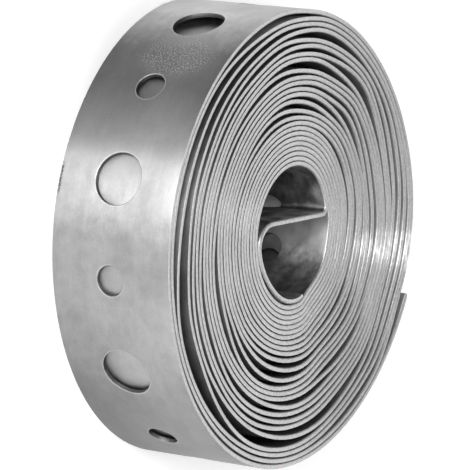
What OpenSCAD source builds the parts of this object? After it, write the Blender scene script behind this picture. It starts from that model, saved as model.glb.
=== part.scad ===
// Roll of perforated steel strap, wound by hand and lying on its end.
// Seen from above, the strap starts at its outer end, low on the right, and winds inward
// to a hook at the bore, where its inner end crosses the bore and follows the bore's wall.

/* [Strap] */
// Width of the flat strap
strap_w = 20; // [16:0.5:32]
// Thickness of the flat strap
strap_t = 0.7; // [0.5:0.05:1]

/* [Holes] */
// Diameter of the large holes
large_d = 8; // [5:0.1:10]
// Diameter of the small holes between them
small_d = 4.6; // [3:0.1:6]
// Distance along the strap from one hole to the next
hole_pitch = 14.45; // [12:0.05:18]
// Distance from the strap's outer end to its first hole, a small one
end_margin = 3.3; // [3:0.1:12]
// Distance from the hook to the nearest hole round the bore, a large one
hook_margin = 13; // [6:0.1:14]

/* [Winding] */
// Radius of the bore where the winding starts
bore_r = 9.5; // [8:0.1:14]
// Turns from the bore to the outer end
turns = 25; // [12:1:32]
// Gap between the tight turns next to the bore
tight_gap = 0.06; // [0.04:0.01:0.2]
// Gap between the looser turns further out
loose_gap = 0.39; // [0.1:0.01:0.6]
// Tight turns next to the bore
tight_turns = 8; // [2:1:10]
// How far the bore lies to the left of the roll's centre, seen from above
bore_shift = 0.2; // [0:0.1:1]
// How far the outer end springs away from the turn below it
end_lift = 0.3; // [0.1:0.1:1.5]
// Angle by which the strap stops short of its last full turn
end_angle = 22; // [0:1:60]
// Depth at each end of the roll to which the gap between the turns is open
groove_depth = 4; // [1:0.5:5]
// How far the web between two turns stays clear of a hole's edge
web_clear = 1; // [0.5:0.1:1.8]

/* [Inner end] */
// Angle of the hook above the roll's right-hand side
hook_angle = 20; // [10:1:40]
// Inside radius of the sharp bend at the hook
hook_r = 0.6; // [0.3:0.1:1.5]
// Inside radius of the easy bend at the left
bend_r = 2.6; // [1:0.1:4]
// Gap between the inner end and the wall of the bore
tongue_gap = 0.15; // [0.1:0.05:0.5]
// Angle round the bore at which the inner end stops
tongue_stop = 283; // [230:1:310]

/* [Hidden] */

$fn = 180;
half_turns = 2 * turns;
last = half_turns - 1;
ease_turns = 2;
web_w = strap_w - 2 * groove_depth;
cut = 1;

// A bend is thicker than the strap by a hair each side and laps over its neighbours
bend_swell = 0.04;
hook_lap = 8;
bend_lap = 2;

// Smooth step from 0 to 1, and a length rounded to the grid
grid = 0.01;
function ease(x) = x <= 0 ? 0 : x >= 1 ? 1 : x * x * (3 - 2 * x);
function tidy(x) = round(x / grid) * grid;

// Gap between half turn k and the turn below it
function gap(k) = tight_gap + (loose_gap - tight_gap) * ease((k / 2 - tight_turns) / ease_turns);

// Radius of the strap's inner face where half turn k starts, before the bore is shifted
function wound_r(k) = k == 0 ? bore_r : wound_r(k - 1) + (strap_t + gap(k - 1)) / 2;

// The winding crosses its middle line on the right where an even half turn starts, and on
// the left where an odd one does: the distance from the roll's centre to the inner face
function crossing(k) =
    tidy(wound_r(k) - (k % 2 == 0 ? 1 : -1) * bore_shift * (1 - k / half_turns)
         + (k == half_turns ? end_lift : 0));

// Each half turn is a true arc from one crossing to the next
function arc_r(k) = (crossing(k) + crossing(k + 1)) / 2;
function arc_x(k) = (k % 2 == 0 ? 1 : -1) * (crossing(k) - crossing(k + 1)) / 2;
function arc_from(k) = k % 2 * 180 + (k == 0 ? hook_angle : 0);
function arc_to(k) = k % 2 * 180 + 180 - (k == last ? end_angle : 0);

// Strap lengths are measured along the middle of its thickness
function mid_r(k) = arc_r(k) + strap_t / 2;
function length_of(angle, r) = r * angle * PI / 180;
function angle_of(s, r) = s / r * 180 / PI;
function arc_len(k) = length_of(arc_to(k) - arc_from(k), mid_r(k));
function coil_len(k = last) = k < 0 ? 0 : arc_len(k) + coil_len(k - 1);

// Half turn and angle of a point at distance s from the strap's outer end
function place(s, k = last) =
    s <= arc_len(k) ? [k, arc_to(k) - angle_of(s, mid_r(k))] : place(s - arc_len(k), k - 1);

// A hole is its half turn, its angle and its diameter. Those that show are on the outermost
// turn, counted from the outer end, and on the innermost turn, counted from the hook
outer_len = arc_len(last) + arc_len(last - 1) + length_of(end_angle, mid_r(last - 2));
inner_len = arc_len(0) + arc_len(1) + length_of(hook_angle, mid_r(2));
outer_count = floor((outer_len - large_d / 2 - end_margin) / hole_pitch) + 1;
inner_count = floor((inner_len - large_d / 2 - hook_margin) / hole_pitch) + 1;
function hole_d(i) = i % 2 == 0 ? small_d : large_d;
outer_holes = [for (i = [0 : outer_count - 1])
    concat(place(end_margin + i * hole_pitch), hole_d(i))];
inner_holes = [for (i = [0 : inner_count - 1])
    concat(place(coil_len() - hook_margin - i * hole_pitch), hole_d(i + 1))];
open_holes = concat(outer_holes, inner_holes);

// A hole belongs to its own half turn, and to the next one too where it reaches over the crossing
function reach(h) = asin(h[2] / 2 / arc_r(h[0]));
function meets(h, k) =
    h[0] == k
    || (h[0] == k - 1 && h[1] + reach(h) > k % 2 * 180 + (k % 2 == 0 ? 360 : 0))
    || (h[0] == k + 1 && h[1] - reach(h) < (k + 1) % 2 * 180);

// Inner end: a sharp bend at the hook, a level straight across the bore, an easy bend at the
// left and an arc along the wall of the bore, each tangent to the one before it
hook_mid_r = hook_r + strap_t / 2;
bend_mid_r = bend_r + strap_t / 2;
wall_r = arc_r(1) - tongue_gap - strap_t;
wall_swing = wall_r + strap_t / 2 - bend_mid_r;
hook_x = tidy(arc_x(0) + (mid_r(0) - hook_mid_r) * cos(hook_angle));
hook_y = tidy((mid_r(0) - hook_mid_r) * sin(hook_angle));
tongue_y = hook_y - hook_mid_r;
bend_y = tongue_y - bend_mid_r;
wall_from = 180 - round(asin(bend_y / wall_swing));
bend_x = tidy(arc_x(1) + wall_swing * cos(wall_from));

module ring(centre, r, wall, w, from, to)
    translate(centre)
        rotate_extrude(angle = to - from, start = from)
            translate([r, -w / 2])
                square([wall, w]);

module punch(h, clear = 0)
    translate([arc_x(h[0]), 0, 0])
        rotate([0, 0, h[1]])
            translate([arc_r(h[0]) - gap(h[0]) - strap_t, 0, 0])
                rotate([0, 90, 0])
                    cylinder(d = h[2] + 2 * clear, h = 2 * (gap(h[0]) + strap_t) + cut);

// The web fills the gap below half turn k, between the grooves at the two ends of the roll,
// and is cut back round the holes of the turn above it and of the one below
module web(k)
    difference() {
        ring([arc_x(k), 0], arc_r(k) - gap(k) - strap_t / 2, gap(k) + strap_t, web_w,
             k == 2 ? hook_angle : arc_from(k), arc_to(k));
        for (h = inner_holes)
            if (meets(h, k - 2))
                punch(h);
        for (h = outer_holes)
            if (meets(h, k))
                punch(h, web_clear);
    }

module half_turn(k)
    difference() {
        union() {
            ring([arc_x(k), 0], arc_r(k), strap_t, strap_w, arc_from(k), arc_to(k));
            if (k > 1)
                web(k);
        }
        for (h = open_holes)
            if (meets(h, k))
                punch(h);
    }

module bend(centre, r, from, to, lap)
    ring(centre, r - bend_swell, strap_t + 2 * bend_swell, strap_w, from - lap, to + lap);

module straight()
    translate([bend_x, tongue_y - strap_t / 2, -strap_w / 2])
        cube([hook_x - bend_x, strap_t, strap_w]);

module inner_end() {
    bend([hook_x, hook_y], hook_r, -90, hook_angle, hook_lap);
    straight();
    bend([bend_x, bend_y], bend_r, 90, wall_from, bend_lap);
    ring([arc_x(1), 0], wall_r, strap_t, strap_w, wall_from, tongue_stop);
}

module strap_coil()
    color("silver")
        translate([(crossing(last) - crossing(last - 1)) / 2,
                   (arc_r(last) - arc_r(last - 1)) / 2, strap_w / 2]) {
            inner_end();
            for (k = [0 : last])
                half_turn(k);
        }

strap_coil();
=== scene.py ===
"""A roll of perforated steel strap, wound by hand, lying on its end on a plain pale floor.

The whole strap is one mesh. It is laid out flat, with every hole punched through it, and then
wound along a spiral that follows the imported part: lengths along the strap, across it and
through its thickness become a place on the winding.

Lengths are in millimetres and angles in degrees from +X towards +Y, except where a comment
says otherwise. Turn 0 is the innermost, and turn 24 the outermost.
"""

import math

import bpy
import numpy as np
from mathutils import Matrix, Vector


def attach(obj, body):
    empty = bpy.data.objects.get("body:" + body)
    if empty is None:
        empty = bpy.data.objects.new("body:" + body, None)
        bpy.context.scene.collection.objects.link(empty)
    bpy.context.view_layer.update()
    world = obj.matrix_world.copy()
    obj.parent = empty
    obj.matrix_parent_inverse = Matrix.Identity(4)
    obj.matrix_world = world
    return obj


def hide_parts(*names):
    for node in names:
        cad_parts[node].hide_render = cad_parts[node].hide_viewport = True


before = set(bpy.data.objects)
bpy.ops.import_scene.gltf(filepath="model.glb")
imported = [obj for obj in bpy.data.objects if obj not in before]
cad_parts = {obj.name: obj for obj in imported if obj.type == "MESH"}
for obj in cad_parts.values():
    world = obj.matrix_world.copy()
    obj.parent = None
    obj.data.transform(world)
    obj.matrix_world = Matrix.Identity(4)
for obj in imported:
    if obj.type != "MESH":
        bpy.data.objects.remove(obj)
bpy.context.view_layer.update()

MM = 0.001

# The strap and its winding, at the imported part's own sizes
STRAP_W = 20.0
STRAP_T = 0.7
PITCH = 14.45
END_MARGIN = 3.3
HOOK_MARGIN = 13.0
TURNS = 25
END_ANGLE = 22.0
OUTER_END = TURNS - END_ANGLE / 360

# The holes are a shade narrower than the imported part's, past their rolled mouths
LARGE_R = 3.78
SMALL_R = 2.2

# Holes in view on the outermost turn, on the innermost one, and in the strap's inner end
OUTER_HOLES = 14
INNER_HOLES = 4
TONGUE_HOLES = 3

# Turns wound at two hidden holes: one shows through a hole in the bore, the other lies
# midway between two holes of the outermost turn, so that none shows through those
UNDER_BORE = 1 + 323 / 360
UNDER_RIM = 23 + 225.1 / 360

# Half the width, less the little by which the turns lie out of line, and half the thickness
HALF_W = STRAP_W / 2 - 0.1
HALF_T = STRAP_T / 2

# The middle of the winding, seen from above
MIDDLE = Vector((0.06, 0.24))

# The bore is a little taller than wide and shifted to -X. Bulges and hollows here and below
# are (size, middle, half width) or (size, start, rise, end, fall), in degrees.
BORE_R = 9.81
BORE_SHIFT = (-1.06, 0.48)
BORE_OVAL = (-0.27, -0.16)
BORE_FULL = (0.20, 215, 45, 277, 16)
BORE_DRAWN_IN = (0.53, 277, 16, 297, 34)

# The hook, where the winding starts, in turns. There the innermost turn is drawn in by a
# little, which fades over part of a turn, and a turn later it climbs over its own start.
HOOK_U = 25.5 / 360
HOOK_IN = 0.25
HOOK_IN_TURNS = 0.12
CLIMB_FROM = 0.96

# The outermost turn: its outside where it starts, how much it grows in a turn, where it is
# flat, where it stands out over open gaps, and how it springs off towards its end
OUTSIDE_R = 33.18
OUTSIDE_GROWTH = 0.97
OUTSIDE_START = (0.24, 22)
OUTSIDE_FLATS = ((0.47, 47, 50), (0.21, 200, 40))
OUTSIDE_PROUD_ABOVE = (0.44, 84, 18, 112, 70)
OUTSIDE_PROUD_BELOW = (0.19, 262, 40)
SPRING_EARLY = (0.10, 270, 30)
SPRING_LATE = (0.90, 290, 48)

# The gap below the outermost turn, the angle by which it has closed to that, and where it
# opens again
OUTER_GAP = 0.06
OUTER_GAP_REACHED = 50
OUTER_OPENINGS = ((0.85, 105, 33), (0.22, 235, 42), (0.12, 295, 30))
END_OPENING = (1.50, 312, 26)

# The gap between the tight turns round the bore, the turn at which they end, and the gap
# between the others where nothing holds them apart
TIGHT_END = 7.6
TIGHT_GAP = 0.04
LOOSE_GAP = 0.03

# Where the turns between stand off the ones below them, before they are fitted together
STAND_OFFS = (
    # turn, angle, half width in degrees, opening
    (23, 135, 40, 0.62),
    (23, 168, 34, 0.74),
    (23, 250, 30, 0.12),
    (23, 305, 35, 0.25),
    (22, 112, 38, 0.47),
    (22, 150, 42, 0.93),
    (22, 176, 24, 0.37),
    (22, 204, 48, 1.60),
    (22, 345, 55, 0.40),
    (21, 15, 35, 0.35),
    (21, 76, 30, 0.70),
    (21, 145, 45, 0.42),
    (21, 188, 30, 0.25),
    (21, 248, 42, 1.10),
    (21, 350, 70, 0.40),
    (20, 22, 32, 0.45),
    (20, 112, 35, 0.40),
    (20, 205, 40, 0.25),
    (20, 278, 45, 0.60),
    (20, 355, 75, 0.30),
    (19, 82, 30, 0.35),
    (19, 150, 50, 0.35),
    (19, 248, 28, 0.25),
    (18, 15, 50, 0.20),
    (18, 50, 34, 0.70),
    (18, 205, 40, 0.30),
    (18, 262, 40, 0.20),
    (17, 82, 36, 0.80),
    (17, 243, 34, 0.50),
    (16, 110, 42, 0.35),
    (16, 272, 32, 0.45),
    (15, 148, 40, 0.30),
    (15, 305, 35, 0.35),
    (15, 5, 60, 0.45),
    (14, 15, 60, 0.35),
    (14, 70, 35, 0.25),
    (14, 198, 42, 0.55),
    (13, 45, 32, 0.45),
    (13, 238, 48, 0.55),
    (12, 330, 50, 0.20),
    (12, 75, 34, 0.40),
    (12, 250, 42, 0.70),
    (11, 335, 60, 0.25),
    (11, 90, 30, 0.50),
    (11, 258, 42, 0.50),
    (10, 110, 40, 0.35),
    (10, 250, 40, 0.20),
    (9, 118, 30, 0.16),
    (9, 350, 80, 0.38),
    (8, 20, 70, 0.30),
    (8, 155, 32, 0.20),
    (7, 190, 60, 0.12),
)

# Stand-offs are stretched by this factor at most. The slack left over is spread more evenly
# at the top and below, and at the sides more of it collects in the gaps that are open,
# which count up to a size.
MOST_STRETCH = 1.15
CROWDING = 0.85
LEAST_CROWDING = 0.3
MOST_SLACK = 0.35

# The inner end: its sharp bend's radius, the straight's slope and the x where it ends, the
# pull of the easy bend's two ends, the angles between which the strap follows the wall, and
# how far it stays off the wall
HOOK_R = 0.96
STRAIGHT_SLOPE = 1.3
STRAIGHT_END = -6.7
BEND_PULL = (2.3, 1.9)
WALL_ANGLES = (186, 282)
WALL_SPARE = 0.05
WALL_SPARE_MORE = (0.30, 225, 50)
HOOK_POINTS, STRAIGHT_POINTS, BEND_POINTS, WALL_POINTS = 24, 26, 26, 60

# How far the strap lies towards one end of the roll: a slow wander, and a step near the rim
WANDER_SEED = 7
WANDER_STEP = 26.0
WANDER = 0.05
SIDE = 0.05
SIDE_STEP_AT = 22.35
SIDE_STEP_TURNS = 0.25

# The last bit of the outer end is thinned by the cut, mostly from outside
TIP = 0.35
TIP_OUTER, TIP_INNER = 0.22, 0.05

# The winding is worked out in steps round a turn, and then along the strap. Each is smoothed
# over a few steps, and the wander over many.
STEPS = 720
PATH_STEP = 0.1
TURN_SMOOTH, PATH_SMOOTH, WANDER_SMOOTH = 6, 3, 130

# The flat mesh has a cell for each hole: its half width, its steps along the strap, in view
# and hidden, and its steps across. It is fine where it can be seen: over the outermost 2.3
# turns, given as a length, and over the innermost ones.
CELL_HALF = 6.4
STEPS_SHOWN = 14
STEPS_HIDDEN = 9
STEPS_ACROSS = 8
SHOWN_OUTSIDE = 2.3 * 2 * math.pi * 32.5
SHOWN_INSIDE_TURNS = 3.2

# Points of the mesh that meet are joined on a grid with this many steps to the millimetre
JOIN_GRID = 2000

# The sheared edge: a sharp burr at the outer face and a rolled corner at the inner one, both
# with a point between their ends, and the angle beyond which the mesh looks sharp
BURR, ROLLOVER = 0.03, 0.20
CORNER = 0.3
SHARP_ANGLE = 50

# Rows of points from a cell's border to its hole, through the hole and out again: share of
# the way from hole to border, distance outside the hole, and height in the thickness.
# The rings that start at the rows listed after them were sheared.
FINE_ROWS = (
    (1.0, 0.0, HALF_T),
    (0.55, 0.0, HALF_T),
    (0.0, 0.27, HALF_T),
    (0.0, 0.12, HALF_T - 0.012),
    (0.0, 0.04, HALF_T - 0.035),
    (0.0, 0.0, HALF_T - 0.09),
    (0.0, 0.0, -HALF_T + 0.04),
    (0.0, 0.05, -HALF_T),
    (0.5, 0.0, -HALF_T),
    (1.0, 0.0, -HALF_T),
)
FINE_SHEARED = (3, 4, 5, 6)
PLAIN_ROWS = (
    (1.0, 0.0, HALF_T),
    (0.45, 0.0, HALF_T),
    (0.0, 0.0, HALF_T),
    (0.0, 0.0, -HALF_T),
    (0.45, 0.0, -HALF_T),
    (1.0, 0.0, -HALF_T),
)
PLAIN_SHEARED = (2,)

# The zinc's lightness along the strap: partly its own patina, partly painted light and shade,
# the rim's lit and shaded bands and the shade on the inner turns seen through the holes.
# Distance from the strap's outer end, and how light it is there
PATINA_AND_LIGHT = (
    (46, 0.21),
    (56, 0.24),
    (64, 0.29),
    (72, 0.31),
    (80, 0.37),
    (90, 0.40),
    (96, 0.37),
    (99, 0.42),
    (107, 0.46),
    (109.5, 0.31),
    (114, 0.255),
    (119, 0.16),
    (126, 0.165),
    (131, 0.36),
    (137, 0.60),
    (150, 0.50),
    (170, 0.40),
    (300, 0.42),
    (310, 0.50),
    (316, 0.34),
    (321, 0.17),
    (333, 0.18),
    (338, 0.38),
    (348, 0.44),
    (352, 0.40),
)
PATINA_AND_LIGHT_END = PATINA_AND_LIGHT[-1][0]

# How deep the metal's bump is, in metres
BUMP_DEPTH = 0.0002

# Marks on the rim, along it from the outer end and across it: the white bloom's middle and
# half width each way, and where the nick starts, is full, fades and ends
BLOOM_ALONG, BLOOM_ACROSS = (124.8, 4.2), (1.5, 6.5)
NICK_ALONG, NICK_ACROSS = (101.5, 102.3, 105.4, 106.4), (-9.62, -9.42)

# Stretches of the strap's inner end and first turn, in millimetres past the hook: the middle
# of the hook's bend, the stretch behind the inner end, the end of the face of the bore, and
# where the strap goes in between the turns. It comes out again so far from the outer end.
# These lay the painted shade in the hook's bend, behind the inner end and between the turns.
HOOK_MIDDLE = -1.2
BEHIND_END = (22, 25, 38, 41)
BORE_FACE_END = (55, 60)
COVERED_FROM = (62, 75)
COVERED_TO = (352, 362)

# Nearer than this to the middle line a sheared face is a hole's wall and not an edge
HOLE_WALLS = 6.0

# The studio: floor and lamps in metres, power in watts. The floor is pale, and shines by
# itself just enough to look white in the camera and in the metal.
FLOOR_HALF = 2.0
FLOOR_DROP = 0.00002
FLOOR_GREY = 0.93
FLOOR_SHINE = 0.21
WORLD_LIGHT = 0.35
LAMP_DISTANCE = 0.9
LAMP_AIM = Vector((0, 0, 0.01))
LAMPS = (
    # name, azimuth, elevation, (width, height), power
    ("key", 159, 26, (0.38, 0.9), 7.6),
    ("side", 222, 24, (0.5, 0.6), 2.2),
    ("back", 349, 32, (0.6, 0.6), 1.3),
    ("strip", 256, 80, (0.12, 0.3), 1.3),
)

# The camera: its direction from the roll, how far it is rolled, its distance in metres from
# the middle of the roll's end, its lens and sensor, and how far right of that middle and
# above it it aims, in metres
CAMERA_AZIMUTH = 168.7
CAMERA_ELEVATION = 31.47
CAMERA_ROLL = 97.12
CAMERA_DISTANCE = 0.575
CAMERA_LENS = 301.8
SENSOR = 36
AIM_RIGHT, AIM_UP = -9.15 * MM, 0.38 * MM


def ease(x):
    """A smooth step from 0 at 0 to 1 at 1."""
    x = np.clip(x, 0.0, 1.0)
    return x * x * (3 - 2 * x)


def bell(x):
    """1 in the middle, falling smoothly to 0 at -1 and 1."""
    return np.where(np.abs(x) < 1, np.cos(np.pi / 2 * np.clip(x, -1, 1)) ** 2, 0.0)


def step(x, size, start, rise):
    """0 up to start, then growing to size over rise."""
    return size * ease((x - start) / rise)


def bulge(x, size, middle, half):
    """A bell of a size, reaching half to each side of its middle."""
    return size * bell((x - middle) / half)


def swell(x, size, start, rise, end, fall):
    """Grows to size over rise, from start on, and fades over fall, from end on."""
    return size * ease((x - start) / rise) * (1 - ease((x - end) / fall))


def polar(radius, angle):
    """Points at a radius and an angle in radians."""
    return np.stack([radius * np.cos(angle), radius * np.sin(angle)], 1)


def unit(angle):
    """The direction at an angle in radians."""
    return np.array([math.cos(angle), math.sin(angle)])


def smoothed(values, reach):
    """Values averaged with those up to reach places away."""
    kernel = np.hanning(2 * reach + 1)
    kernel /= kernel.sum()
    padded = np.concatenate([np.full(reach, values[0]), values, np.full(reach, values[-1])])
    return np.convolve(padded, kernel, "valid")


def bore_face(angle):
    """Radius of the bore at an angle in radians, drawn in where the strap's inner end stops
    and no longer fills it."""
    degrees = np.degrees(angle)
    radius = BORE_R + BORE_SHIFT[0] * np.cos(angle) + BORE_SHIFT[1] * np.sin(angle)
    radius = radius + BORE_OVAL[0] * np.cos(2 * angle) + BORE_OVAL[1] * np.sin(2 * angle)
    return radius + swell(degrees, *BORE_FULL) - swell(degrees, *BORE_DRAWN_IN)


def outer_face(degrees):
    """Radius of the outermost turn's inner face."""
    lift, over = OUTSIDE_START
    spiral = (
        OUTSIDE_R
        - STRAP_T
        + OUTSIDE_GROWTH * degrees / 360
        + lift * (1 - ease(degrees / over))
    )
    flats = sum(bulge(degrees, *flat) for flat in OUTSIDE_FLATS)
    proud = swell(degrees, *OUTSIDE_PROUD_ABOVE) + bulge(degrees, *OUTSIDE_PROUD_BELOW)
    size, start, rise = SPRING_LATE
    late = size * np.clip((degrees - start) / rise, 0, 1) ** 2
    return spiral - flats + proud + (step(degrees, *SPRING_EARLY) + late)


def innermost(u):
    """Radius of the inner face over the first turn, from the hook to just past it again."""
    base = bore_face(2 * np.pi * u)
    start = HOOK_IN * (1 - ease((u - HOOK_U) / HOOK_IN_TURNS))
    climb = ease((u - CLIMB_FROM) / (1 + HOOK_U - CLIMB_FROM))
    return base - start + (STRAP_T + TIGHT_GAP - HOOK_IN) * climb


def wanted_gap(turn, angle):
    """How far a turn would stand off the one below it, before all are fitted together."""
    gap = np.where(turn + angle / 360 < TIGHT_END, TIGHT_GAP, LOOSE_GAP)
    for t, a, half, opening in STAND_OFFS:
        away = (turn + angle / 360 - t - a / 360) * 360
        gap = gap + opening * bell(away / half)
    return gap


def outer_gap(degrees, first):
    """The gap below the outermost turn; first is its value where the turn starts."""
    gap = OUTER_GAP + (first - OUTER_GAP) * (1 - ease(degrees / OUTER_GAP_REACHED))
    for opening in OUTER_OPENINGS:
        gap = gap + bulge(degrees, *opening)
    return gap + step(degrees, *END_OPENING)


def fitted(own, held, space, degrees):
    """The gaps of the turns stacked at one angle, made to fill the space between the turn
    below them and the face above them. Held gaps keep their size."""
    loose = ~held
    room = space - len(own) * STRAP_T - own[held].sum()
    scale = min(MOST_STRETCH, room / own[loose].sum())
    rest = room - scale * own[loose].sum()
    sides = np.cos(np.radians(degrees)) ** 2
    even = 1 - CROWDING * (LEAST_CROWDING + (1 - LEAST_CROWDING) * sides)
    pull = np.minimum(own, MOST_SLACK)
    share = even / loose.sum() + (1 - even) * pull / pull[loose].sum()
    return np.where(loose, own * scale + rest * share, own)


def winding():
    """The inner face's radius at each step of each turn, as one long row from turn 0."""
    fraction = np.arange(STEPS) / STEPS
    degrees = fraction * 360
    # before the hook's angle turn 0 hasn't begun, and turn 1 is the innermost
    over = fraction < HOOK_U
    radius = np.zeros((TURNS, STEPS))
    radius[0] = innermost(fraction)
    radius[1, over] = innermost(1 + fraction[over])
    start = np.where(over, radius[1], radius[0])
    first = np.where(over, 2, 1)
    gaps = np.array([wanted_gap(t, degrees) for t in range(TURNS)])
    held = np.array([t + fraction < TIGHT_END for t in range(TURNS)])

    def gaps_at(i, top, layers):
        """Gaps at step i, so that the turns up to layers reach from the bore to top."""
        turns = slice(first[i], layers)
        return fitted(gaps[turns, i], held[turns, i], top - start[i], degrees[i])

    outside = outer_face(degrees)
    # the gap below the outermost turn where it starts
    lead = gaps_at(0, outside[0], TURNS)[-1]
    below = outside - STRAP_T - outer_gap(degrees, lead)
    # past the outer end turn 23 is bare, and runs on into the start of turn 24
    tip = (1 - END_ANGLE / 360) * 360
    at_tip = outer_face(tip) - STRAP_T - outer_gap(tip, lead)
    left = 1 - np.clip((degrees - tip) / (360 - tip), 0, 1)
    bare = at_tip + (outside[0] - at_tip) * (1 - left**2)
    below = np.where(fraction > OUTER_END - (TURNS - 1), bare, below)
    radius[TURNS - 1] = outside
    for i in range(STEPS):
        r = start[i]
        for t, gap in zip(range(first[i], TURNS - 1), gaps_at(i, below[i], TURNS - 1)):
            r += STRAP_T + gap
            radius[t, i] = r
    return radius.reshape(-1)


RADIUS = winding()


def wound_part():
    """The strap's middle from the hook to the outer end, and turns wound at each point."""
    u = np.arange(len(RADIUS)) / STEPS
    on_strap = (u >= HOOK_U) & (u <= OUTER_END)
    at = np.append(u[on_strap], OUTER_END)
    r = np.interp(at, u, RADIUS)
    # the few points at each end stay as they are
    kept = 4
    smooth = smoothed(r, TURN_SMOOTH)[kept:-kept]
    r = np.concatenate([r[:kept], smooth, r[-kept:]]) + STRAP_T / 2
    return polar(r, 2 * np.pi * at), at


def wall_part():
    """The stretch of the inner end that follows the wall of the bore."""
    a = np.radians(np.linspace(*WALL_ANGLES, WALL_POINTS))
    r = np.interp(a / (2 * np.pi) * STEPS, np.arange(len(RADIUS)), RADIUS)
    spare = WALL_SPARE + bulge(np.degrees(a), *WALL_SPARE_MORE)
    return polar(r - spare - STRAP_T / 2, a)


def hook_part(tip, heading):
    """The sharp bend from the winding's tip, and the direction in which it ends. The heading
    is that of the strap as it comes to the tip, in radians."""
    # clockwise round to the straight, which runs towards -X
    turn = -((math.radians(180 - STRAIGHT_SLOPE) - heading) % (2 * math.pi) - 2 * math.pi)
    side = heading - math.pi / 2
    hub = tip + HOOK_R * unit(side)
    bends = np.linspace(0, turn, HOOK_POINTS)[1:]
    bend = np.array([hub + HOOK_R * unit(side + math.pi - b) for b in bends])
    return bend, unit(heading - turn)


def easy_bend(start, out, wall):
    """A curve from the end of the straight, which runs in direction out, into the wall."""
    into = wall[1] - wall[0]
    into = into / np.linalg.norm(into)
    t = np.linspace(0, 1, BEND_POINTS)[1:-1, None]
    return (
        (1 - t) ** 3 * start
        + 3 * (1 - t) ** 2 * t * (start + out * BEND_PULL[0])
        + 3 * (1 - t) * t**2 * (wall[0] - into * BEND_PULL[1])
        + t**3 * wall[0]
    )


def centre_line():
    """The strap's middle from its inner end to its outer end, turns wound at each point, and
    the index of the hook."""
    wound, turns = wound_part()
    heading = math.atan2(*(wound[0] - wound[1])[::-1])
    hook, out = hook_part(wound[0], heading)
    reach = (hook[-1][0] - STRAIGHT_END) / -out[0]
    straight = hook[-1] + out * np.linspace(0, reach, STRAIGHT_POINTS)[1:, None]
    wall = wall_part()
    inner = np.concatenate([hook, straight, easy_bend(straight[-1], out, wall), wall])[::-1]
    turns = np.concatenate([np.full(len(inner), 0.0), turns])
    return np.concatenate([inner, wound]), turns, len(inner)


def path():
    """Along the strap in even steps: distance from its inner end, place, outward normal and
    turns wound; and the hook's distance."""
    points, turns, hook = centre_line()
    steps = np.linalg.norm(np.diff(points, axis=0), axis=1)
    length = np.concatenate([[0], np.cumsum(steps)])
    s = np.append(np.arange(0, length[-1], PATH_STEP), length[-1])
    place = [smoothed(np.interp(s, length, points[:, i]), PATH_SMOOTH) for i in (0, 1)]
    place = np.stack(place, 1)
    along = np.gradient(place, axis=0)
    along /= np.linalg.norm(along, axis=1)[:, None]
    normal = np.stack([along[:, 1], -along[:, 0]], 1)
    return s, place, normal, np.interp(s, length, turns), length[hook]


PATH_S, PATH_P, PATH_N, PATH_U, HOOK_S = path()
LENGTH = PATH_S[-1]


def sideways():
    """How far the strap lies towards one end of the roll or the other."""
    rng = np.random.default_rng(WANDER_SEED)
    count = int(LENGTH / WANDER_STEP) + 5
    knots = rng.uniform(-1, 1, count)
    wander = np.interp(PATH_S, np.arange(count) * WANDER_STEP, knots)
    near_rim = ease((PATH_U - SIDE_STEP_AT) / SIDE_STEP_TURNS)
    return SIDE - 2 * SIDE * near_rim + smoothed(wander, WANDER_SMOOTH) * WANDER


PATH_Z = sideways()


def turns_to_s(turns):
    """Distance from the inner end at which so many turns are wound."""
    return float(np.interp(turns, PATH_U, PATH_S))


def between_holes(a, b):
    """Holes after a up to b, large and small in turn, at as nearly the one pitch as fits."""
    (s0, r0), (s1, r1) = a, b
    steps = (s1 - s0) / PITCH
    if r0 == r1:
        count = 2 * round(steps / 2)
    else:
        count = 2 * round((steps - 1) / 2) + 1
    other = LARGE_R + SMALL_R - r0
    return [(s0 + (s1 - s0) * k / count, (r0, other)[k % 2]) for k in range(1, count + 1)]


def hole_places():
    """Distance from the inner end and radius of every hole."""
    outer = [
        (LENGTH - END_MARGIN - i * PITCH, (SMALL_R, LARGE_R)[i % 2])
        for i in range(OUTER_HOLES)
    ]
    inner = [
        (HOOK_S + HOOK_MARGIN + j * PITCH, (LARGE_R, SMALL_R)[j % 2])
        for j in range(-TONGUE_HOLES, INNER_HOLES)
    ]
    under_bore = (turns_to_s(UNDER_BORE), SMALL_R)
    under_rim = (turns_to_s(UNDER_RIM), LARGE_R)
    spread = [inner[-1], under_bore, under_rim, outer[-1]]
    middle = [h for a, b in zip(spread[:-1], spread[1:]) for h in between_holes(a, b)]
    return inner + middle + outer[:-1][::-1]


def edge_profile():
    """Across and through, from the strap's outer face round its edge to its inner face."""
    return [
        (CELL_HALF, HALF_T),
        (HALF_W - BURR, HALF_T),
        (HALF_W - CORNER * BURR, HALF_T - CORNER * BURR),
        (HALF_W, HALF_T - BURR),
        (HALF_W, -HALF_T + ROLLOVER),
        (HALF_W - CORNER * ROLLOVER, -HALF_T + CORNER * ROLLOVER),
        (HALF_W - ROLLOVER, -HALF_T),
        (CELL_HALF, -HALF_T),
    ]


class FlatMesh:
    """Points along, across and through the strap, and faces that are sheared or not."""

    def __init__(self):
        self.blocks, self.faces, self.sheared = [], [], []
        self.count = 0

    def add(self, points, faces, sheared):
        """Add points, and faces between them as indices into these points alone."""
        self.faces += [tuple(i + self.count for i in face) for face in faces]
        self.sheared += sheared
        self.blocks.append(np.asarray(points))
        self.count += len(points)

    def joined(self):
        """Points, faces and marks, with points that meet joined into one."""
        points = np.concatenate(self.blocks)
        keys = np.round(points * JOIN_GRID).astype(np.int64)
        _, firsts, back = np.unique(keys, axis=0, return_index=True, return_inverse=True)
        back = back.reshape(-1)
        faces, marks = [], []
        for face, sheared in zip(self.faces, self.sheared):
            face = [int(back[i]) for i in face]
            face = [v for i, v in enumerate(face) if v != face[i - 1]]
            if len(face) > 2:
                faces.append(face)
                marks.append(int(sheared))
        return points[firsts], faces, marks


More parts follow.
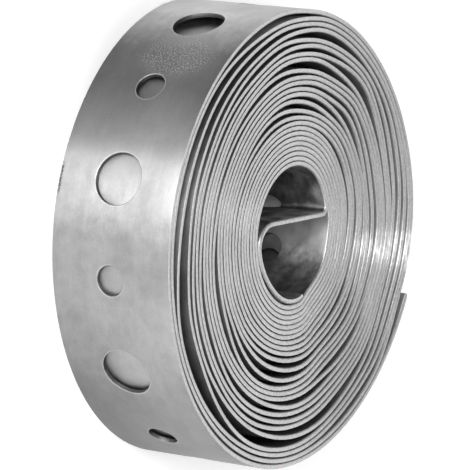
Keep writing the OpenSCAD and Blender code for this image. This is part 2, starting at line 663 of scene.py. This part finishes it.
def add_hole(flat, along, across, hole_s, hole_r, fine):
    """The faces round one hole, and through it, inside the cell that along and across span."""
    border = np.array(
        [(x, -CELL_HALF) for x in along[:-1]]
        + [(along[-1], y) for y in across[:-1]]
        + [(x, CELL_HALF) for x in along[::-1][:-1]]
        + [(along[0], y) for y in across[::-1][:-1]]
    )
    count = len(border)
    hole = np.array([hole_s, 0.0])
    away = border - hole
    angle = np.arctan2(away[:, 1], away[:, 0])
    ray = np.stack([np.cos(angle), np.sin(angle)], 1)
    far = np.linalg.norm(away, axis=1)
    rows = FINE_ROWS if fine else PLAIN_ROWS
    sheared_rows = FINE_SHEARED if fine else PLAIN_SHEARED
    points = []
    for share, outside, through in rows:
        radius = hole_r + outside + (far - hole_r) * share
        places = hole + ray * radius[:, None]
        points.append(np.concatenate([places, np.full((count, 1), through)], 1))
    faces, sheared = [], []
    for r in range(len(rows) - 1):
        near, next_row = r * count, (r + 1) * count
        for i in range(count):
            j = (i + 1) % count
            faces.append((near + i, near + j, next_row + j, next_row + i))
            sheared.append(r in sheared_rows)
    flat.add(np.concatenate(points), faces, sheared)


def add_margin(flat, along, side):
    """The strap beyond a cell, out to its rounded edge on one side."""
    profile = edge_profile()
    m = len(profile)
    points = [(x, side * y, through) for x in along for y, through in profile]
    faces, sheared = [], []
    for i in range(len(along) - 1):
        near, far = i * m, (i + 1) * m
        for j in range(m - 1):
            face = (near + j, far + j, far + j + 1, near + j + 1)
            faces.append(face if side > 0 else face[::-1])
            sheared.append(0 < j < m - 2)
    flat.add(points, faces, sheared)


def add_cap(flat, s, flip):
    """The faces that close the strap's end at s."""
    across = np.linspace(-CELL_HALF, CELL_HALF, STEPS_ACROSS + 1)
    outlines = [
        [(y0, HALF_T), (y1, HALF_T), (y1, -HALF_T), (y0, -HALF_T)]
        for y0, y1 in zip(across[:-1], across[1:])
    ]
    flips = [flip] * len(outlines)
    for side in (1, -1):
        outlines.append([(side * y, through) for y, through in edge_profile()])
        flips.append((side > 0) == flip)
    for outline, flipped in zip(outlines, flips):
        face = tuple(range(len(outline)))
        points = [(s, y, through) for y, through in outline]
        flat.add(points, [face[::-1] if flipped else face], [True])


def flat_strap():
    """The whole strap laid flat: points, faces, and 1 for each face that was sheared."""
    flat = FlatMesh()
    holes = hole_places()
    middles = [(a + b) / 2 for (a, _), (b, _) in zip(holes[:-1], holes[1:])]
    bounds = [0.0, *middles, LENGTH]
    across = np.linspace(-CELL_HALF, CELL_HALF, STEPS_ACROSS + 1)
    outside = LENGTH - SHOWN_OUTSIDE
    inside = turns_to_s(SHOWN_INSIDE_TURNS)
    for (s, r), a, b in zip(holes, bounds[:-1], bounds[1:]):
        shown = s > outside or s < inside
        along = np.linspace(a, b, (STEPS_SHOWN if shown else STEPS_HIDDEN) + 1)
        add_hole(flat, along, across, s, r, shown)
        add_margin(flat, along, 1)
        add_margin(flat, along, -1)
    add_cap(flat, 0.0, False)
    add_cap(flat, LENGTH, True)
    return flat.joined()


def wind(flat):
    """Places on the winding, in metres, of points along, across and through the strap."""
    s, across, through = flat[:, 0], flat[:, 1], flat[:, 2].copy()
    tip = ease((s - (LENGTH - TIP)) / TIP)
    through = np.where(through > 0, through - TIP_OUTER * tip, through + TIP_INNER * tip)
    place = np.stack([np.interp(s, PATH_S, PATH_P[:, i]) for i in (0, 1)], 1)
    normal = np.stack([np.interp(s, PATH_S, PATH_N[:, i]) for i in (0, 1)], 1)
    normal /= np.linalg.norm(normal, axis=1)[:, None]
    xy = place + normal * through[:, None] + np.array(MIDDLE)
    z = STRAP_W / 2 + across + np.interp(s, PATH_S, PATH_Z)
    return np.concatenate([xy, z[:, None]], 1) * MM


def mark_burr(mesh, flat):
    """The sheared edge meets the strap's outer face in a sharp corner."""
    hair = 1e-4
    at_edge = np.abs(flat[:, 1]) > HALF_W - hair
    at_burr = at_edge & (np.abs(flat[:, 2] - (HALF_T - BURR)) < hair)
    ends = np.empty(len(mesh.edges) * 2, dtype=np.int64)
    mesh.edges.foreach_get("vertices", ends)
    sharp = at_burr[ends.reshape(-1, 2)].all(axis=1)
    for index in np.flatnonzero(sharp):
        mesh.edges[int(index)].use_edge_sharp = True


def strap_object():
    """The wound strap, with each point's place on the flat strap kept for the materials."""
    flat, faces, sheared = flat_strap()
    mesh = bpy.data.meshes.new("wound_strap")
    mesh.from_pydata(wind(flat).tolist(), [], faces)
    mesh.polygons.foreach_set("material_index", sheared)
    mesh.update()
    place = mesh.attributes.new("strap_place", "FLOAT_VECTOR", "POINT")
    place.data.foreach_set("vector", flat.astype(np.float32).reshape(-1))
    mesh.shade_smooth()
    mesh.set_sharp_from_angle(angle=math.radians(SHARP_ANGLE))
    mark_burr(mesh, flat)
    obj = bpy.data.objects.new("wound_strap", mesh)
    bpy.context.collection.objects.link(obj)
    return obj


class Nodes:
    """A short way to write a material's nodes."""

    def __init__(self, name):
        self.material = bpy.data.materials.new(name)
        self.material.use_nodes = True
        self.tree = self.material.node_tree
        self.tree.nodes.clear()

    def add(self, kind, **values):
        """A node of a kind, with its settings."""
        node = self.tree.nodes.new(kind)
        for key, value in values.items():
            setattr(node, key, value)
        return node

    def put(self, value, socket):
        """Set a socket to a number, or link a node's output to it."""
        if isinstance(value, (int, float)):
            socket.default_value = value
        else:
            self.tree.links.new(value, socket)

    def math(self, operation, *values):
        """An operation on numbers and other nodes' outputs."""
        node = self.add("ShaderNodeMath", operation=operation)
        for socket, value in zip(node.inputs, values):
            self.put(value, socket)
        return node.outputs[0]

    def product(self, first, *others):
        """The first value times all the others."""
        for other in others:
            first = self.math("MULTIPLY", first, other)
        return first

    def swing(self, field, size, middle):
        """A noise field's swing about its own middle, of a size, added to another value."""
        return self.math("MULTIPLY_ADD", self.math("SUBTRACT", field, 0.5), size, middle)

    def varied(self, base, field, share):
        """base made lighter and darker by a share of itself."""
        return self.product(base, self.swing(field, share, 1.0))

    def where(self, base, mask, change):
        """base changed by a share of itself where the mask is 1."""
        return self.product(base, self.math("MULTIPLY_ADD", mask, change, 1.0))

    def ramp(self, value, low, high, out_low=0.0, out_high=1.0):
        """Smoothly from out_low, where value is low, to out_high, where it is high."""
        node = self.add("ShaderNodeMapRange", interpolation_type="SMOOTHSTEP")
        for name, number in (
            ("Value", value),
            ("From Min", low),
            ("From Max", high),
            ("To Min", out_low),
            ("To Max", out_high),
        ):
            self.put(number, node.inputs[name])
        return node.outputs["Result"]

    def band(self, value, start, full, fade, end, size=1.0):
        """A size between full and fade, and 0 before start and after end."""
        rise = self.ramp(value, start, full)
        return self.product(rise, self.ramp(value, fade, end, size, 0.0))

    def away(self, value, middle, half):
        """The square of the distance from middle, as a share of half."""
        share = self.math("DIVIDE", self.math("SUBTRACT", value, middle), half)
        return self.math("POWER", share, 2.0)

    def noise(self, place, stretch, detail, rough=0.5):
        """Noise over a place in millimetres, stretch waves to the millimetre each way."""
        scaled = self.add("ShaderNodeVectorMath", operation="MULTIPLY")
        self.put(place, scaled.inputs[0])
        scaled.inputs[1].default_value = stretch
        node = self.add("ShaderNodeTexNoise")
        self.put(scaled.outputs[0], node.inputs["Vector"])
        for name, number in (("Scale", 1.0), ("Detail", detail), ("Roughness", rough)):
            self.put(number, node.inputs[name])
        return node.outputs["Fac"]

    def split(self, vector):
        """The three numbers of a vector."""
        node = self.add("ShaderNodeSeparateXYZ")
        self.put(vector, node.inputs[0])
        return node.outputs

    def strap_place(self):
        """Place along, across and through the flat strap."""
        return self.add("ShaderNodeAttribute", attribute_name="strap_place").outputs["Vector"]

    def object_place(self):
        """Place on the wound strap, in metres."""
        return self.split(self.add("ShaderNodeTexCoord").outputs["Object"])

    def metal(self, tone, rough, height, bump_strength):
        """A metal shader with a grey tone and a fine bump."""
        grey = self.add("ShaderNodeCombineColor")
        for socket in grey.inputs[:3]:
            self.put(tone, socket)
        bump = self.add("ShaderNodeBump")
        bump.inputs["Strength"].default_value = bump_strength
        bump.inputs["Distance"].default_value = BUMP_DEPTH
        self.put(height, bump.inputs["Height"])
        shader = self.add("ShaderNodeBsdfPrincipled")
        shader.inputs["Metallic"].default_value = 1.0
        self.put(grey.outputs[0], shader.inputs["Base Color"])
        self.put(rough, shader.inputs["Roughness"])
        self.put(bump.outputs["Normal"], shader.inputs["Normal"])
        return shader

    def finished(self, shader):
        """The material, with the shader as its surface."""
        out = self.add("ShaderNodeOutputMaterial")
        self.put(shader.outputs[0], out.inputs[0])
        return self.material


def past_hook(*distances):
    """Distances from the inner end of places given past the hook."""
    return [HOOK_S + distance for distance in distances]


def patina_and_painted_light(n, from_end, across):
    """How light the zinc is along the strap, with a slant across it near the outer end: partly
    patina, partly painted light and shade.
    """
    ramp = n.add("ShaderNodeValToRGB")
    n.put(n.math("DIVIDE", from_end, PATINA_AND_LIGHT_END), ramp.inputs[0])
    stops = ramp.color_ramp.elements
    while len(stops) < len(PATINA_AND_LIGHT):
        stops.new(0.5)
    for stop, (distance, light) in zip(stops, PATINA_AND_LIGHT):
        stop.position = distance / PATINA_AND_LIGHT_END
        stop.color = (light, light, light, 1)
    # painted light: near the outer end the rim is a little lighter towards the roll's upper
    # end
    slant = n.ramp(from_end, 60, 95, 0.010, 0.0)
    return n.math("MULTIPLY_ADD", across, slant, ramp.outputs[0])


def bore_stains_and_shade(n, tone, in_bore, along, clouds, patches):
    """The face of the bore is dull and mottled darker, partly by stains and partly as painted
    shade that dims its highlights, with painted shade in the hook's bend and behind the
    strap's inner end."""
    stains_and_shade = n.ramp(clouds, 0.38, 0.60, 0.45, 1.0)
    stains_and_shade = n.product(stains_and_shade, n.ramp(patches, 0.30, 0.70, 0.55, 1.15))
    stains_and_shade = n.math("MULTIPLY_ADD", n.math("SUBTRACT", stains_and_shade, 1.0), in_bore, 1.0)
    tone = n.product(tone, stains_and_shade)
    # painted shade in the crease of the hook's bend and on the wall behind the strap's inner
    # end
    from_bend = n.math("ABSOLUTE", n.math("SUBTRACT", along, HOOK_S + HOOK_MIDDLE))
    bend = n.product(n.ramp(from_bend, 0.8, 3.0, 0.5, 0.0), in_bore)
    shade_behind_end = n.band(along, *past_hook(*BEHIND_END), 0.8)
    tone = n.where(tone, bend, -1.0)
    return n.where(tone, n.product(shade_behind_end, in_bore), -1.0)


def painted_mouth_highlights(n, tone, depth, patches):
    """The mouth of each hole is painted bright in patches, a painted highlight on its rolled
    ring.
    """
    ring_highlight = n.ramp(depth, HALF_T - 0.011, HALF_T - 0.001, 1.0, 0.0)
    outer = n.math("GREATER_THAN", depth, 0.0)
    patchy = n.ramp(patches, 0.36, 0.56, 0.35, 1.0)
    return n.where(tone, n.product(ring_highlight, outer, patchy), 0.40)


def painted_gap_shade(n, tone, along, from_end):
    """Painted shade on the zinc between the turns, less of it on the right."""
    gap_shade = n.product(
        n.ramp(along, *past_hook(*COVERED_FROM)),
        n.ramp(from_end, *COVERED_TO),
    )
    right = n.ramp(n.object_place()[0], 4 * MM, 18 * MM, 0.52, 0.12)
    return n.where(tone, n.product(gap_shade, right), -1.0)


def white_bloom(n, tone, place, from_end, across, patches):
    """A ragged patch of fine white bloom on the rim."""
    spread = n.math("ADD", n.away(from_end, *BLOOM_ALONG), n.away(across, *BLOOM_ACROSS))
    bloom = n.ramp(n.swing(patches, 2.4, spread), 0.4, 1.2, 1.0, 0.0)
    dots = n.ramp(n.noise(place, (4.4, 4.4, 0.0), 1.5, 0.6), 0.50, 0.66)
    return n.math("MULTIPLY_ADD", n.product(bloom, dots), 0.22, tone)


def dark_nick(n, tone, from_end, across, grain):
    """A dark nick in the far edge of the rim."""
    nick = n.product(
        n.band(from_end, *NICK_ALONG),
        n.ramp(across, *NICK_ACROSS, 1.0, 0.0),
        n.ramp(grain, 0.40, 0.52),
    )
    return n.where(tone, nick, -0.8)


def galvanised_steel():
    """The strap's two faces: zinc with patina, mottling, fine streaks and stains, and painted
    light and shade along the rim, in the bore, between the turns and at the holes' mouths.
    """
    n = Nodes("galvanised_steel_worn_and_painted_light")
    place = n.strap_place()
    along, across, depth = n.split(place)
    clouds = n.noise(place, (0.09, 0.13, 0.0), 3.0, 0.55)
    patches = n.noise(place, (0.42, 0.50, 0.0), 5.0, 0.65)
    streaks = n.noise(place, (0.12, 3.2, 0.0), 3.0, 0.6)
    grain = n.noise(place, (3.0, 5.0, 3.0), 2.0)

    # the borders of the patina and of the painted light and shade waver by a few millimetres
    from_end = n.swing(patches, 5.0, n.math("SUBTRACT", LENGTH, along))
    in_bore = n.product(
        n.ramp(along, *past_hook(*BORE_FACE_END), 1.0, 0.0),
        n.math("LESS_THAN", depth, 0.0),
    )
    tone = patina_and_painted_light(n, from_end, across)
    for field, share in ((clouds, 0.60), (patches, 0.60), (streaks, 0.14), (grain, 0.22)):
        tone = n.varied(tone, field, share)
    tone = bore_stains_and_shade(n, tone, in_bore, along, clouds, patches)
    tone = painted_mouth_highlights(n, tone, depth, patches)
    tone = painted_gap_shade(n, tone, along, from_end)
    tone = white_bloom(n, tone, place, from_end, across, patches)
    tone = dark_nick(n, tone, from_end, across, grain)

    rough = n.swing(patches, 0.30, 0.46)
    rough = n.math("MULTIPLY_ADD", in_bore, 0.14, rough)
    height = n.math("MULTIPLY_ADD", streaks, 0.5, n.math("MULTIPLY", grain, 0.5))
    shader = n.metal(tone, rough, height, 0.10)

    # rolling has left a grain that stretches the highlights
    shader.inputs["Anisotropic"].default_value = 0.7
    shader.inputs["Anisotropic Rotation"].default_value = 0.25
    tangent = n.add("ShaderNodeTangent", direction_type="RADIAL", axis="Z")
    n.put(tangent.outputs[0], shader.inputs["Tangent"])
    return n.finished(shader)


def sheared_steel():
    """The sheared edges and the walls of the holes: bare steel, finely torn, with painted
    shade in the holes and towards the right, and a painted highlight low on the right.
    """
    n = Nodes("sheared_steel_edge")
    place = n.strap_place()
    along, across, depth = n.split(place)
    x, y, _ = n.object_place()
    burr = n.noise(place, (2.6, 6.0, 6.0), 3.0, 0.6)
    clouds = n.noise(place, (0.12, 0.3, 0.3), 2.0)
    tone = n.swing(clouds, 0.16, n.swing(burr, 0.62, 0.51))

    # the walls of the holes are painted dark as shade, except at their mouths
    hole_wall_shade = n.product(
        n.math("LESS_THAN", n.math("ABSOLUTE", across), HOLE_WALLS),
        n.math("GREATER_THAN", along, HOOK_S),
        n.ramp(depth, HALF_T - 0.09, HALF_T - 0.02, 1.0, 0.25),
    )
    tone = n.where(tone, hole_wall_shade, -0.75)
    # painted shade: the edges darken towards the right
    tone = n.product(tone, n.ramp(x, -2 * MM, 18 * MM, 1.05, 0.82))

    # low on the right the edges get a painted highlight, in a wedge and in spots
    off_line = n.math("ABSOLUTE", n.math("ADD", n.math("DIVIDE", y, x), 0.185))
    spots = n.noise(place, (0.25, 0.0, 0.0), 2.0, 0.6)
    painted_highlight = n.product(
        n.ramp(off_line, 0.02, 0.15, 1.0, 0.0),
        n.ramp(x, 14 * MM, 21 * MM),
        n.ramp(spots, 0.40, 0.62, 0.25, 1.0),
    )
    tone = n.where(tone, painted_highlight, 1.1)
    rough = n.math("MULTIPLY_ADD", painted_highlight, -0.08, n.swing(burr, 0.20, 0.42))
    return n.finished(n.metal(tone, rough, burr, 0.20))


def pale_floor():
    """A matt floor that shines a little, but only where the camera or the metal sees it."""
    n = Nodes("pale_floor")
    shader = n.add("ShaderNodeBsdfPrincipled")
    shader.inputs["Base Color"].default_value = (FLOOR_GREY, FLOOR_GREY, FLOOR_GREY, 1)
    shader.inputs["Roughness"].default_value = 0.9
    shader.inputs["Specular IOR Level"].default_value = 0.1
    rays = n.add("ShaderNodeLightPath")
    seen = n.math("MAXIMUM", rays.outputs["Is Camera Ray"], rays.outputs["Is Glossy Ray"])
    shader.inputs["Emission Color"].default_value = (1, 1, 1, 1)
    n.put(n.math("MULTIPLY", seen, FLOOR_SHINE), shader.inputs["Emission Strength"])
    return n.finished(shader)


def floor_object():
    """The floor, a hair below the roll."""
    h = FLOOR_HALF
    mesh = bpy.data.meshes.new("floor")
    mesh.from_pydata([(-h, -h, 0), (h, -h, 0), (h, h, 0), (-h, h, 0)], [], [(0, 1, 2, 3)])
    obj = bpy.data.objects.new("floor", mesh)
    obj.data.materials.append(pale_floor())
    obj.location.z = -FLOOR_DROP
    bpy.context.collection.objects.link(obj)


def direction(azimuth, elevation):
    """The direction to an azimuth and an elevation in radians."""
    level = Vector((math.cos(azimuth), math.sin(azimuth), 0.0)) * math.cos(elevation)
    return level + Vector((0, 0, math.sin(elevation)))


def place_object(name, data, location, turn):
    """Link a lamp or a camera at a place, turned by a quaternion."""
    obj = bpy.data.objects.new(name, data)
    obj.location = location
    obj.rotation_mode = "QUATERNION"
    obj.rotation_quaternion = turn
    bpy.context.collection.objects.link(obj)
    return obj


def make_lamp(name, azimuth, elevation, size, power):
    """A soft rectangular lamp that faces the roll."""
    data = bpy.data.lights.new(name, "AREA")
    data.shape = "RECTANGLE"
    data.size, data.size_y = size
    data.energy = power
    way = direction(math.radians(azimuth), math.radians(elevation))
    place_object(name, data, way * LAMP_DISTANCE + LAMP_AIM, way.to_track_quat("Z", "Y"))


def make_world():
    """Even white light from all around."""
    world = bpy.data.worlds.new("studio")
    world.use_nodes = True
    back = world.node_tree.nodes["Background"]
    back.inputs["Color"].default_value = (1, 1, 1, 1)
    back.inputs["Strength"].default_value = WORLD_LIGHT
    bpy.context.scene.world = world


def make_camera():
    """The view of the roll's end from 58 degrees off its axis, rolled so that the roll stands
    on its rim in the picture."""
    angles = (CAMERA_AZIMUTH, CAMERA_ELEVATION, CAMERA_ROLL)
    azimuth, elevation, roll = (math.radians(angle) for angle in angles)
    to_camera = direction(azimuth, elevation)
    side = Vector((0, 0, 1)).cross(to_camera).normalized()
    above = to_camera.cross(side)
    right = side * math.cos(roll) + above * math.sin(roll)
    up = to_camera.cross(right)
    data = bpy.data.cameras.new("camera")
    data.sensor_width = SENSOR
    data.lens = CAMERA_LENS
    data.clip_start, data.clip_end = 0.1, 20
    end_middle = Vector((*(MIDDLE * MM), STRAP_W * MM))
    back = (to_camera * CAMERA_DISTANCE - right * AIM_RIGHT - up * AIM_UP).normalized()
    right = up.cross(back).normalized()
    turn = Matrix((right, back.cross(right), back)).transposed()
    location = end_middle + to_camera * CAMERA_DISTANCE
    bpy.context.scene.camera = place_object("camera", data, location, turn.to_quaternion())


make_camera()
make_world()
for lamp in LAMPS:
    make_lamp(*lamp)

strap = strap_object()
strap.data.materials.append(galvanised_steel())
strap.data.materials.append(sheared_steel())
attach(strap, "root")
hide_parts("strap_coil")

floor_object()

bpy.context.scene.view_settings.view_transform = "Standard"
